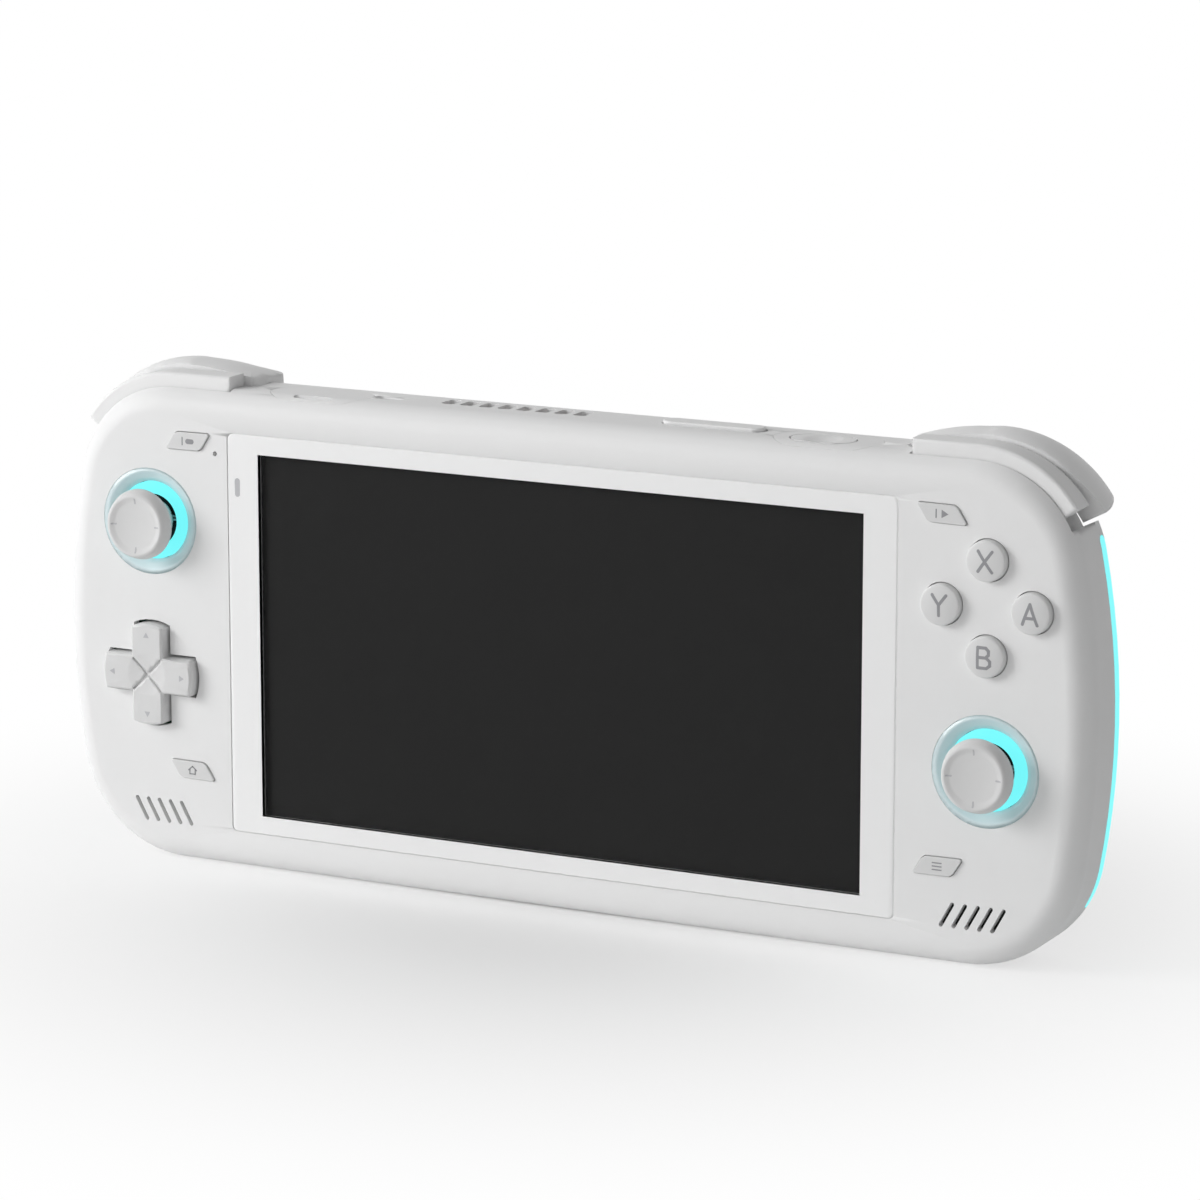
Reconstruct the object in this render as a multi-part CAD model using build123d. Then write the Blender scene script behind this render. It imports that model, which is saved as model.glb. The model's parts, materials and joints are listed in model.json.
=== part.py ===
from build123d import *

import math
import os

# Handheld game console: a wide screen between two grips, standing on its bottom edge.
# X runs to the right, the front faces -Y and Z is up. The origin is the middle of the flat bottom.
# Millimetres throughout. "Depth" is measured from the front face towards the back.

# Driving sizes of the body
glass_width = 147.0
grip_width = 39.5
body_height = 98.7
body_depth = 17.0
top_band = 8.3
bottom_band = 8.0
side_radius = 165.0
side_crest_share = 0.488
top_corner_radius = 22.0
bottom_corner_radius = 23.5
front_edge_radius = 5.0
rear_edge_radius = 2.5
wall = 1.8
front_wall = 2.0
split_depth = 13.1
lip_height = 1.2
lip_thickness = 0.8

# Clearances shared by all pieces
fit_gap = 0.1
moving_gap = 0.3
bearing_gap = 0.05
press_gap = 0.02
overrun = 6.0

# Screen
glass_thickness = 1.1
glass_corner = 1.2
glass_edge = 0.25
bezel_side = 7.1
bezel_end = 3.85
bezel_thickness = 0.2
panel_margin_side = 2.4
panel_margin_end = 1.6
panel_thickness = 1.9
mid_frame_thickness = 1.0
mid_frame_margin = 1.2
mid_frame_ear = 5.2

# Places of the controls on a grip, as shares of the grip's width and the body's height
column_share = 0.468
upper_row_share = 0.717
lower_row_share = 0.397
slant_column_share = 0.230
slant_top_share = 0.892
slant_bottom_share = 0.200
microphone_column_share = 0.073
microphone_row_share = 0.871
speaker_column_share = 0.413
speaker_row_share = 0.105

# Sticks
lens_radius = 10.9
lens_flange = 1.0
lens_flange_thickness = 0.6
dish_depth = 1.5
glow_outer_radius = 8.0
glow_inner_radius = 5.4
glow_thickness = 0.9
cap_radius = 7.2
cap_top_radius = 6.2
cap_underside_radius = 6.3
cap_underside_rise = 2.6
cap_widest_rise = 3.3
cap_top_rise = 6.0
cap_hollow = 0.7
cap_rim = 0.9
cap_thickness = 1.4
neck_radius = 2.6
stick_pivot_depth = 5.0
ball_radius = 4.8
ball_floor_rise = 2.6
stub_radius = 1.3
stub_floor_rise = 1.4
cross_pin_radius = 0.6
cross_pin_length = 10.6
cross_pin_short = 4.2
cradle_radius = 5.8
cradle_thickness = 1.0
cradle_drop = 1.2
cradle_ear_thickness = 1.0
cradle_ear_width = 2.6
stick_click = 0.4
module_size = 16.0
module_depth = 5.0

# Face buttons
button_radius = 4.0
button_pitch = 9.2
button_rise = 1.9
button_dome = 0.5
button_edge = 0.45
button_flange = 0.9
button_flange_thickness = 0.8
button_hole_gap = 0.2
button_travel = 1.0
button_floor_gap = 0.15
button_skirt_gap = 0.25

# Direction pad
pad_radius = 10.5
pad_arm_width = 7.4
pad_rise = 2.4
pad_edge = 0.5
pad_hole_gap = 0.6
pad_flange_radius = 8.6
pad_flange_thickness = 0.6
pad_flange_gap = 0.35
pad_tilt = 3.5
pad_ball_radius = 0.9
pad_groove_length = 9.4
pad_groove_width = 0.5
pad_groove_depth = 0.25
pad_dish_radius = 22.0
pad_dish_depth = 0.5

# Slanted small buttons
slant_length = 10.4
slant_height = 3.7
slant_lean = 2.3
slant_drop = 0.1
slant_soft_corner = 1.6
slant_sharp_corner = 0.35
slant_rise = 0.5
slant_edge = 0.15
slant_gap = 0.15
slant_flange = 0.7
slant_flange_thickness = 0.7

# Speaker slots and microphone
slot_width = 0.85
slot_rise = 4.2
slot_run = 2.3
slot_pitch = 2.65
slot_count = 5
microphone_radius = 0.5
speaker_width = 19.0
speaker_height = 10.0
speaker_thickness = 4.2

# Bumpers and triggers
bumper_front = 3.2
bumper_back = 8.8
bumper_proud = 2.5
bumper_inset = 1.5
bumper_run = 13.5
bumper_edge = 0.8
shoulder_end_angle = 34.0
slot_end_angle = 26.0
bay_inset = 4.2
bay_front = 2.9
bay_wall = 1.3
bumper_pin_inset = 2.75
bumper_pin_setback = 2.6
shoulder_pin_radius = 0.7
shoulder_lug_radius = 1.45
pin_boss_thickness = 1.2
trigger_front = 9.3
trigger_inset = 1.4
trigger_run = 16.6
trigger_travel = 12.0
trigger_pin_depth = 11.7
trigger_pin_inset = 1.7
trigger_lug_length = 3.3
trigger_length = 13.5
trigger_crest = 4.1
trigger_depth_shares = (0, 0.34, 0.68, 1)
trigger_proud_shares = (0.78, 1, 0.8, 0.37)
trigger_skirt_shares = (1, 1, 1, 1.6)
trigger_end_angles = (28.0, 29.0, 32.0, 34.0)
trigger_tip_share = 0.3
trigger_corner_radius = 4.5

# Light strips in the side walls
strip_width = 2.3
strip_length = 72.5
strip_depth = 13.95
strip_thickness = 1.3
strip_centre_share = 0.481

# Top edge
capsule_length = 22.3
capsule_width = 10.8
capsule_depth = 7.6
capsule_thickness = 1.2
capsule_reach_share = 0.7565
nail_slot_length = 8.6
nail_slot_width = 1.4
nail_slot_depth = 0.6
nail_slot_setback = 3.9
door_tongue_thickness = 1.6
scoop_length = 6.8
scoop_width = 2.8
scoop_depth = 0.7
vent_width = 2.8
vent_length = 4.6
vent_pitch = 4.19
vent_count = 8
vent_depth = 10.8
vent_middle = -13.25
rocker_length = 21.6
rocker_width = 4.4
rocker_depth = 9.8
rocker_spacing = 3.25
rocker_rise = 0.7
rocker_gap = 0.35
rocker_height = 1.9
power_length = 13.4
power_width = 7.6
power_offset = 1.1
power_dish_radius = 14.0
power_dish_depth = 0.6
power_height = 1.0

# Ports in the bottom edge
usb_width = 8.9
usb_height = 3.2
usb_length = 7.4
usb_shell = 0.35
usb_tongue = 0.7
usb_reach = 16.0
port_depth = 8.6
jack_reach = 26.0
jack_bore_radius = 1.8
jack_length = 12.0
jack_size = 6.0

# Inside
board_thickness = 1.0
board_depth = 5.2
board_side_margin = 6.5
board_height = 46.0
board_top_margin = 7.6
side_board_width = 28.0
side_board_hole_gap = 0.6
membrane_thickness = 0.6
membrane_dome = 0.2
membrane_dome_radius = 2.8
battery_width = 112.0
battery_gap = 1.0
battery_thickness = 6.5
battery_margin = 5.0
battery_corner = 2.0
shield_width = 44.0
shield_height = 34.0
shield_thickness = 1.6
shield_reach_share = 0.517
socket_width = 15.0
socket_height = 15.0
socket_thickness = 2.0
fan_size = 36.0
fan_height = 5.0
fan_wall = 1.0
fan_inlet_radius = 11.0
fan_hub_radius = 6.0
fan_blade_radius = 14.5
fan_blade_count = 19
fan_blade_thickness = 0.7
fan_blade_sweep = 25.0
fan_axle_radius = 0.8
fan_drop = 1.6
sink_height = 4.2
sink_base = 0.8
fin_thickness = 0.5
intake_slot_width = 1.6
intake_slot_pitch = 3.4
intake_slot_count = 7
intake_slot_length = 20.0

# Screws
screw_shank_radius = 0.8
screw_head_radius = 1.6
screw_head_height = 1.2
screw_depth_below = 0.8
screw_bite = 5.0
screw_drive_width = 0.5
boss_radius = 2.5
boss_side_reach_share = 0.823
boss_side_height_share = 0.560
boss_corner_reach = 4.0
boss_top_share = 0.812
boss_bottom_share = 0.103

# Places worked out from the driving sizes
body_width = glass_width + 2 * grip_width
half_width = body_width / 2
half_glass = glass_width / 2
glass_height = body_height - top_band - bottom_band
glass_middle = bottom_band + glass_height / 2
side_crest = side_crest_share * body_height
column = half_glass + column_share * grip_width
upper_row = upper_row_share * body_height
lower_row = lower_row_share * body_height
slant_column = half_glass + slant_column_share * grip_width
slant_top = slant_top_share * body_height
slant_bottom = slant_bottom_share * body_height
capsule_reach = capsule_reach_share * half_glass
rocker_middle = capsule_reach - (capsule_length + rocker_length) / 2 - rocker_spacing
power_reach = capsule_reach - power_offset
board_width = glass_width - 2 * board_side_margin
shield_reach = shield_reach_share * half_glass
button_flange_back = front_wall + button_skirt_gap + button_flange_thickness
membrane_front = button_flange_back + button_travel + button_floor_gap + membrane_dome
side_board_depth = membrane_front + membrane_thickness
pad_flange_drop = pad_flange_radius * math.sin(math.radians(pad_tilt)) + pad_flange_gap
panel_back = glass_thickness + bezel_thickness + panel_thickness
mid_frame_front = panel_back + fit_gap
mid_frame_back = mid_frame_front + mid_frame_thickness
board_back = board_depth + board_thickness
back_inside = body_depth - wall
fan_front = board_back + fan_drop
fan_back = fan_front + fan_height
fan_centre_height = body_height - board_top_margin - sink_height - fan_size / 2


def y_at(depth):
    """The Y of a depth behind the front face."""
    return depth - body_depth / 2


def slab(sketch, near, far):
    """A prism of a front-view sketch between two depths."""
    return extrude(Plane.XZ.offset(-y_at(far)) * sketch, far - near)


def tower(sketch, low, high):
    """A prism of a top-view sketch between two heights."""
    return extrude(Plane.XY.offset(low) * sketch, high - low)


def mirrored(shape):
    """The same piece on the other grip."""
    return mirror(shape, about=Plane.YZ)


def revolved(points, x, z):
    """A round piece about the front-to-back line through x, z, from (radius, depth) points."""
    outline_wire = Polyline(*[(radius, y_at(depth)) for radius, depth in points], close=True)
    return Pos(x, 0, z) * revolve(make_face(outline_wire), Axis.Y)


side_centre = (half_width - side_radius, side_crest)


def corner_centre(radius, height):
    """Centre of a corner arc that is tangent to the side arc."""
    reach = side_radius - radius
    return (side_centre[0] + math.sqrt(reach**2 - (height - side_centre[1]) ** 2), height)


top_corner = corner_centre(top_corner_radius, body_height - top_corner_radius)
bottom_corner = corner_centre(bottom_corner_radius, bottom_corner_radius)


def turn_to(corner):
    """Direction from the side arc's centre to a corner's centre, in degrees."""
    return math.degrees(math.atan2(corner[1] - side_centre[1], corner[0] - side_centre[0]))


def outline(inset=0):
    """Front view of the body, drawn in by inset: straight top and bottom, arced sides."""
    upper, lower = turn_to(top_corner), turn_to(bottom_corner)
    right = [
        CenterArc(top_corner, top_corner_radius - inset, upper, 90 - upper),
        CenterArc(side_centre, side_radius - inset, lower, upper - lower),
        CenterArc(bottom_corner, bottom_corner_radius - inset, -90, 90 + lower),
    ]
    left = [mirror(arc, about=Plane.YZ) for arc in right]
    top = Line((-top_corner[0], body_height - inset), (top_corner[0], body_height - inset))
    bottom = Line((-bottom_corner[0], inset), (bottom_corner[0], inset))
    return make_face([*right, *left, top, bottom])


def corner_band(proud, inset, run, end_angle, tip_share=1):
    """Front view of a strip that follows the body's upper right corner, lower at its inner tip."""
    outer = top_corner_radius + proud
    inner = top_corner_radius - inset
    swing = 90 - end_angle
    x_in, x_arc = top_corner[0] - run, top_corner[0]
    high, low = body_height + proud, body_height - inset
    outer_arc = CenterArc(top_corner, outer, end_angle, swing)
    inner_arc = CenterArc(top_corner, inner, end_angle, swing)
    tip = (x_in, body_height + tip_share * proud)
    top = Line(tip, (x_arc, high)) if tip_share == 1 else TangentArc((x_arc, high), tip, tangent=(-1, 0))
    edges = [
        top,
        outer_arc,
        Line(outer_arc @ 0, inner_arc @ 0),
        inner_arc,
        Line((x_arc, low), (x_in, low)),
        Line((x_in, low), tip),
    ]
    return make_face(edges)


def body_block():
    """The body's outer form before it is hollowed and split."""
    block = slab(outline(), 0, body_depth)
    block = fillet(block.edges().group_by(Axis.Y)[0], front_edge_radius)
    return fillet(block.edges().group_by(Axis.Y)[-1], rear_edge_radius)


def cavity():
    """The room inside both shells."""
    room = slab(outline(wall), front_wall, back_inside)
    room = fillet(room.edges().group_by(Axis.Y)[0], max(front_edge_radius - wall, wall / 2))
    for bay in (shoulder_bay(bay_wall), mirrored(shoulder_bay(bay_wall))):
        room -= bay
    return room


def shoulder_bay(margin=0):
    """The open room for a bumper and its trigger at the upper right corner, grown by margin."""
    spread = math.degrees(margin / top_corner_radius)
    end = slot_end_angle - spread
    front = corner_band(overrun, bay_inset + margin, bumper_run + moving_gap + margin, end)
    rear = corner_band(overrun, bay_inset + margin, trigger_run + moving_gap + margin, end)
    back = body_depth + overrun
    return slab(front, bay_front - margin, back) + slab(rear, trigger_front - moving_gap - margin, back)


def bumper_boss():
    """Rib in the bay behind the bumper that carries the rear end of its pin."""
    x, z = bumper_pin_place()
    top = z + shoulder_pin_radius + fit_gap
    low = body_height - bay_inset - bay_wall / 2
    depth = bumper_back + moving_gap
    plate = Pos(x, (top + low) / 2) * Rectangle(2 * shoulder_lug_radius, top - low)
    return slab(plate, depth, depth + pin_boss_thickness)


def bumper_pin_place():
    """X and Z of the right bumper's pin, which runs front to back."""
    return (top_corner[0] - bumper_run + bumper_pin_setback, body_height - bumper_pin_inset)


def trigger_pin_place():
    """Y and Z of the trigger's pin, which runs along X."""
    return (y_at(trigger_pin_depth), body_height - trigger_pin_inset)


def stadium(length, width):
    """A slot shape lying along the first axis."""
    return SlotOverall(length, width)


# Places of the screws that hold the shells together
def boss_places():
    """Six screw places: two at the sides, four beside the screen's corners."""
    side = half_glass + boss_side_reach_share * grip_width
    near = half_glass + boss_corner_reach
    right = [
        (side, boss_side_height_share * body_height),
        (near, boss_top_share * body_height),
        (near, boss_bottom_share * body_height),
    ]
    return right + [(-x, z) for x, z in right]


def stick_places():
    """Left stick high, right stick low."""
    return {"left": (-column, upper_row), "right": (column, lower_row)}


def face_button_places():
    """Four buttons on a cross, high on the right grip."""
    return {
        "x": (column, upper_row + button_pitch),
        "y": (column - button_pitch, upper_row),
        "a": (column + button_pitch, upper_row),
        "b": (column, upper_row - button_pitch),
    }


def slant_places():
    """The small slanted buttons: x, z and which way each leans."""
    return {
        "select": (-slant_column, slant_top, 1),
        "start": (slant_column, slant_top, -1),
        "home": (-slant_column, slant_bottom, -1),
        "menu": (slant_column, slant_bottom, 1),
    }


def slant_shape(lean, grow=0):
    """A leaning parallelogram with two soft and two sharp corners, grown by grow."""
    half_long, half_high = slant_length / 2, slant_height / 2
    shift = slant_lean / 2
    corners = [
        (lean * (half_long + shift - slant_lean / 2), half_high),
        (lean * (half_long - slant_lean), -half_high + slant_drop),
        (-lean * half_long, -half_high),
        (-lean * (half_long - slant_lean), half_high - slant_drop),
    ]
    face = make_face(Polyline(*corners, close=True))
    soft = [face.vertices().sort_by_distance(corners[i])[0] for i in (1, 3)]
    face = fillet(soft, slant_soft_corner)
    sharp = [face.vertices().sort_by_distance(corners[i])[0] for i in (0, 2)]
    face = fillet(sharp, slant_sharp_corner)
    return offset(face, grow) if grow else face


def plus_shape(grow=0):
    """The direction pad's plan: a plus inside a circle, grown by grow."""
    arm = pad_arm_width + 2 * grow
    span = 2 * (pad_radius + grow)
    return (Rectangle(span, arm) + Rectangle(arm, span)) & Circle(pad_radius + grow)


def speaker_slots(side):
    """The row of leaning slots in front of one speaker, as a sketch in place."""
    x, z = side * (half_glass + speaker_column_share * grip_width), speaker_row_share * body_height
    lean = math.degrees(math.atan2(slot_rise, -slot_run))
    length = math.hypot(slot_rise, slot_run) + slot_width
    row = Sketch()
    for index in range(slot_count):
        offset_x = (index - (slot_count - 1) / 2) * slot_pitch
        row += Pos(x + offset_x, z) * Rot(0, 0, lean if side < 0 else -lean) * stadium(length, slot_width)
    return row


def split(near, far):
    """A block that keeps everything between two depths."""
    return slab(Pos(0, body_height / 2) * Rectangle(2 * body_width, 2 * body_height), near, far)


def front_openings():
    """Every hole through the front face for the controls."""
    cuts = Part()
    through = front_wall + overrun
    for x, z in stick_places().values():
        cuts += slab(Pos(x, z) * Circle(lens_radius + fit_gap), -overrun, through)
    for x, z in face_button_places().values():
        cuts += slab(Pos(x, z) * Circle(button_radius + button_hole_gap), -overrun, through)
    for x, z, lean in slant_places().values():
        cuts += slab(Pos(x, z) * slant_shape(lean, slant_gap), -overrun, through)
    cuts += slab(Pos(-column, lower_row) * plus_shape(pad_hole_gap), -overrun, through)
    for side in (-1, 1):
        cuts += slab(speaker_slots(side), -overrun, through)
    microphone = Circle(microphone_radius)
    x = -(half_glass + microphone_column_share * grip_width)
    cuts += slab(Pos(x, microphone_row_share * body_height) * microphone, -overrun, through)
    return cuts


def screen_openings():
    """The glass seat and the window that the display panel fills."""
    seat = Pos(0, glass_middle) * RectangleRounded(
        glass_width + 2 * fit_gap, glass_height + 2 * fit_gap, glass_corner + fit_gap
    )
    panel_width, panel_height = panel_size()
    window = Pos(0, glass_middle) * Rectangle(panel_width + 2 * moving_gap, panel_height + 2 * moving_gap)
    seat_cut = slab(seat, -overrun, glass_thickness + bezel_thickness)
    return seat_cut + slab(window, -overrun, front_wall + overrun)


def panel_size():
    """Width and height of the display panel behind the glass."""
    width = glass_width - 2 * bezel_side + 2 * panel_margin_side
    height = glass_height - 2 * bezel_end + 2 * panel_margin_end
    return width, height


def top_openings():
    """Seats and holes in the top edge: card door, power panel, rocker, vents and scoop."""
    top = body_height
    cuts = Part()
    depth_y = y_at(capsule_depth)
    for side in (-1, 1):
        seat = Pos(side * capsule_reach, depth_y) * stadium(
            capsule_length + 2 * fit_gap, capsule_width + 2 * fit_gap
        )
        cuts += tower(seat, top - capsule_thickness, top + overrun)
    hole = Pos(-capsule_reach, depth_y) * Rectangle(
        socket_width + 2 * fit_gap, door_tongue_thickness + 2 * moving_gap
    )
    cuts += tower(hole, top - wall - overrun, top)
    power_hole = Pos(power_reach, depth_y) * stadium(power_length, power_width)
    cuts += tower(power_hole, top - wall - overrun, top)
    rocker_hole = Pos(rocker_middle, y_at(rocker_depth)) * stadium(
        rocker_length + 2 * rocker_gap, rocker_width + 2 * rocker_gap
    )
    cuts += tower(rocker_hole, top - wall - overrun, top + overrun)
    for index in range(vent_count):
        x = vent_middle + (index - (vent_count - 1) / 2) * vent_pitch
        vent = Pos(x, y_at(vent_depth)) * RectangleRounded(vent_width, vent_length, vent_width * 0.3)
        cuts += tower(vent, top - wall - overrun, top + overrun)
    scoop = Pos(scoop_length / 2 - capsule_reach + capsule_length / 2, depth_y + wall) * stadium(
        scoop_length, scoop_width
    )
    cuts += tower(scoop, top - scoop_depth, top + overrun)
    return cuts


def bottom_openings():
    """Mouths of the charging port and the headphone jack."""
    usb = Pos(usb_reach, y_at(port_depth)) * stadium(usb_width + 2 * fit_gap, usb_height + 2 * fit_gap)
    jack = Pos(-jack_reach, y_at(port_depth)) * Circle(jack_size / 2 + fit_gap)
    return tower(usb, -overrun, wall + overrun) + tower(jack, -overrun, wall + overrun)


def strip_slot(grow=0):
    """The long rounded slot for the right light strip, seen from the side, through the wall."""
    x_low = half_width - overrun
    middle = strip_centre_share * body_height
    plane = Plane(origin=(x_low, y_at(strip_depth), middle), x_dir=(0, 0, 1), z_dir=(1, 0, 0))
    shape = stadium(strip_length + 2 * grow, strip_width + 2 * grow)
    return extrude(plane * shape, 2 * overrun)


def screw_posts(near, far, radius):
    """Round posts at the six screw places."""
    posts = Part()
    for x, z in boss_places():
        posts += slab(Pos(x, z) * Circle(radius), near, far)
    return posts


def shoulder_pin_holes():
    """Seats for the right bumper's and trigger's pins in the shells."""
    x, z = bumper_pin_place()
    hole = Circle(shoulder_pin_radius + press_gap)
    cuts = slab(Pos(x, z) * hole, bay_front - wall / 2, bumper_back + moving_gap + pin_boss_thickness + press_gap)
    y, z_trigger = trigger_pin_place()
    x_in = top_corner[0] - trigger_run - moving_gap
    plane = Plane(origin=(x_in - bay_wall, y, z_trigger), x_dir=(0, 1, 0), z_dir=(1, 0, 0))
    return cuts + extrude(plane * Circle(shoulder_pin_radius + press_gap), bay_wall + overrun / 2)


def make_shells():
    """The front and rear shells, split behind the middle of the depth."""
    hollow = body_block() - cavity()
    bays = shoulder_bay() + mirrored(shoulder_bay())
    bosses = bumper_boss() + mirrored(bumper_boss())
    pin_holes = shoulder_pin_holes() + mirrored(shoulder_pin_holes())
    hollow = hollow - bays - top_openings() - bottom_openings()
    ring_slot = strip_slot(fit_gap)
    hollow = hollow - ring_slot - mirrored(ring_slot)

    front = hollow & split(-overrun, split_depth)
    front += screw_posts(front_wall / 2, split_depth - screw_bite / 2, boss_radius) & body_block()
    front += bosses
    front = front - front_openings() - screen_openings() - pin_holes
    front -= screw_posts(split_depth - 2 * screw_bite, split_depth, screw_shank_radius + press_gap)

    rear = hollow & split(split_depth, body_depth + overrun)
    lip_outer, lip_inner = outline(wall + fit_gap), outline(wall + fit_gap + lip_thickness)
    lip = slab(lip_outer - lip_inner, split_depth - lip_height, split_depth)
    lip += slab(outline(wall / 2) - lip_inner, split_depth, split_depth + wall / 2)
    lip_room = shoulder_bay(bay_wall + fit_gap)
    lip = lip - lip_room - mirrored(lip_room) - ring_slot - mirrored(ring_slot)
    rear += lip - top_openings() - bottom_openings()
    rear += screw_posts(split_depth - screw_bite / 2, back_inside, boss_radius)
    rear -= screw_posts(0, body_depth, screw_shank_radius + fit_gap)
    seat = body_depth - screw_depth_below - screw_head_height
    rear -= screw_posts(seat, body_depth + overrun, screw_head_radius + fit_gap)
    rear = rear - intake_slots() - pin_holes
    return {"front_shell": front, "rear_shell": rear}


def intake_slots():
    """Rows of slots in the back, over the fan."""
    rows = Sketch()
    for index in range(intake_slot_count):
        z = fan_centre_height + (index - (intake_slot_count - 1) / 2) * intake_slot_pitch
        rows += Pos(vent_middle, z) * stadium(intake_slot_length, intake_slot_width)
    return slab(rows, back_inside - overrun / 2, body_depth + overrun)


def make_screen():
    """Cover glass, the white frame under its border, the panel and the metal mid frame."""
    middle = Pos(0, glass_middle)
    plate = RectangleRounded(glass_width, glass_height, glass_corner)
    glass = slab(middle * plate, 0, glass_thickness)
    glass = chamfer(glass.edges().group_by(Axis.Y)[0], glass_edge)
    window = Rectangle(glass_width - 2 * bezel_side, glass_height - 2 * bezel_end)
    frame_back = glass_thickness + bezel_thickness
    frame = slab(middle * (plate - window), glass_thickness, frame_back)
    panel_width, panel_height = panel_size()
    panel = slab(middle * Rectangle(panel_width, panel_height), frame_back, panel_back)

    tray = Rectangle(panel_width + 2 * mid_frame_margin, panel_height + 2 * mid_frame_margin)
    plate_sketch = middle * tray
    for x, z in boss_places():
        if abs(x) < half_glass + 2 * boss_corner_reach:
            ear_x = x - math.copysign(mid_frame_ear, x)
            plate_sketch += Pos(ear_x, z) * Rectangle(2 * mid_frame_ear, 2 * boss_radius + mid_frame_ear / 2)
            plate_sketch -= Pos(x, z) * Circle(boss_radius + fit_gap)
    tray_plate = slab(plate_sketch, mid_frame_front, mid_frame_back)
    return {
        "cover_glass": glass,
        "bezel_frame": frame,
        "display_panel": panel,
        "mid_frame": tray_plate,
    }


def make_stick(side, x, z):
    """One stick: lens, glowing ring, module, click cradle, cross pin, shaft and cap."""
    flange_front = front_wall + fit_gap
    flange_back = flange_front + lens_flange_thickness
    lens = revolved(
        [
            (glow_outer_radius + fit_gap, dish_depth),
            (lens_radius, 0),
            (lens_radius, flange_front),
            (lens_radius + lens_flange, flange_front),
            (lens_radius + lens_flange, flange_back),
            (glow_outer_radius + fit_gap, flange_back),
        ],
        x,
        z,
    )
    ring_sketch = Pos(x, z) * (Circle(glow_outer_radius) - Circle(glow_inner_radius))
    ring = slab(ring_sketch, dish_depth, dish_depth + glow_thickness)

    pivot = Pos(x, y_at(stick_pivot_depth), z)
    ball = pivot * Sphere(ball_radius)
    ball &= slab(Pos(x, z) * Circle(2 * ball_radius), -overrun, stick_pivot_depth - ball_floor_rise)
    neck_top = -(cap_underside_rise + cap_thickness / 2)
    shaft = ball + slab(Pos(x, z) * Circle(neck_radius), neck_top, stick_pivot_depth - ball_floor_rise)
    shaft += slab(Pos(x, z) * Circle(stub_radius), 0, stick_pivot_depth - stub_floor_rise)

    cap = make_cap(x, z) - slab(Pos(x, z) * Circle(neck_radius), neck_top, stick_pivot_depth)

    cross = pivot * Rot(0, 90, 0) * Cylinder(cross_pin_radius, cross_pin_length)
    cross += pivot * Cylinder(cross_pin_radius, cross_pin_short)

    plate_front = stick_pivot_depth + cradle_drop
    plate_back = plate_front + cradle_thickness
    cradle = slab(Pos(x, z) * Circle(cradle_radius), plate_front, plate_back)
    ear_x = cross_pin_length / 2 - cradle_ear_thickness / 2
    ears = Sketch()
    for way in (-1, 1):
        ears += Pos(x + way * ear_x, z) * Rectangle(cradle_ear_thickness, cradle_ear_width)
    cradle += slab(ears, stick_pivot_depth - cross_pin_radius / 2, plate_front)
    saddle = pivot * Rot(0, 90, 0) * Cylinder(cross_pin_radius + bearing_gap, cross_pin_length + overrun)
    mouth = Rectangle(cross_pin_length + overrun, 2 * (cross_pin_radius + bearing_gap))
    cradle = cradle - saddle - slab(Pos(x, z) * mouth, 0, stick_pivot_depth)

    module_front = side_board_depth + board_thickness
    box = slab(Pos(x, z) * Rectangle(module_size, module_size), module_front, module_front + module_depth)
    pocket_floor = plate_back + stick_click + moving_gap
    box -= slab(Pos(x, z) * Circle(cradle_radius + moving_gap), module_front - overrun, pocket_floor)
    return {
        f"{side}_ring_lens": lens,
        f"{side}_light_ring": ring,
        f"{side}_stick_shaft": shaft,
        f"{side}_stick_cap": cap,
        f"{side}_stick_cross_pin": cross,
        f"{side}_stick_cradle": cradle,
        f"{side}_stick_module": box,
    }


def make_cap(x, z):
    """A round thumb cap with a hollow top and a soft rim."""
    base = cap_top_rise - cap_hollow
    profile = [
        (0, -cap_underside_rise),
        (cap_underside_radius, -cap_underside_rise),
        (cap_radius, -cap_widest_rise),
        (cap_radius, -(cap_widest_rise + cap_thickness / 2)),
        (cap_top_radius + cap_rim / 2, -cap_top_rise + cap_rim / 2),
        (cap_top_radius, -cap_top_rise),
        (cap_top_radius - cap_rim / 2, -cap_top_rise),
        (cap_top_radius - cap_rim, -cap_top_rise + cap_rim / 3),
        (cap_top_radius / 2, -base - cap_hollow / 6),
        (0, -base),
    ]
    return revolved(profile, x, z)


def make_sticks():
    """Both sticks."""
    pieces = {}
    for side, (x, z) in stick_places().items():
        pieces.update(make_stick(side, x, z))
    return pieces


def make_face_buttons():
    """Four domed round buttons, and the membrane that returns them."""
    pieces = {}
    flange_front = front_wall + button_skirt_gap
    for name, (x, z) in face_button_places().items():
        shoulder = button_rise - button_dome
        profile_face = make_face(
            [
                Line((0, y_at(-button_rise)), (0, y_at(flange_front))),
                Line((0, y_at(flange_front)), (button_radius, y_at(flange_front))),
                Line((button_radius, y_at(flange_front)), (button_radius, y_at(-shoulder))),
                ThreePointArc(
                    (button_radius, y_at(-shoulder)),
                    (button_radius / 2, y_at(-shoulder - button_dome * 3 / 4)),
                    (0, y_at(-button_rise)),
                ),
            ]
        )
        body = Pos(x, 0, z) * revolve(profile_face, Axis.Y)
        rims = [edge for edge in body.edges().filter_by(GeomType.CIRCLE) if edge.is_closed]
        body = fillet(min(rims, key=lambda rim: rim.center().Y), button_edge)
        flange = Circle(button_radius + button_flange)
        body += slab(Pos(x, z) * flange, flange_front, flange_front + button_flange_thickness)
        pieces[f"{name}_button"] = body
    return pieces


def membrane(places, margin):
    """A rubber sheet on the control board with a low dome under each button."""
    discs = Sketch() + [Pos(x, z) * Circle(margin) for x, z in places]
    sheet_front = side_board_depth - membrane_thickness
    sheet = slab(make_hull(discs.edges()), sheet_front, side_board_depth)
    for x, z in places:
        sheet += slab(Pos(x, z) * Circle(membrane_dome_radius), sheet_front - membrane_dome, sheet_front)
    return sheet


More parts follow.
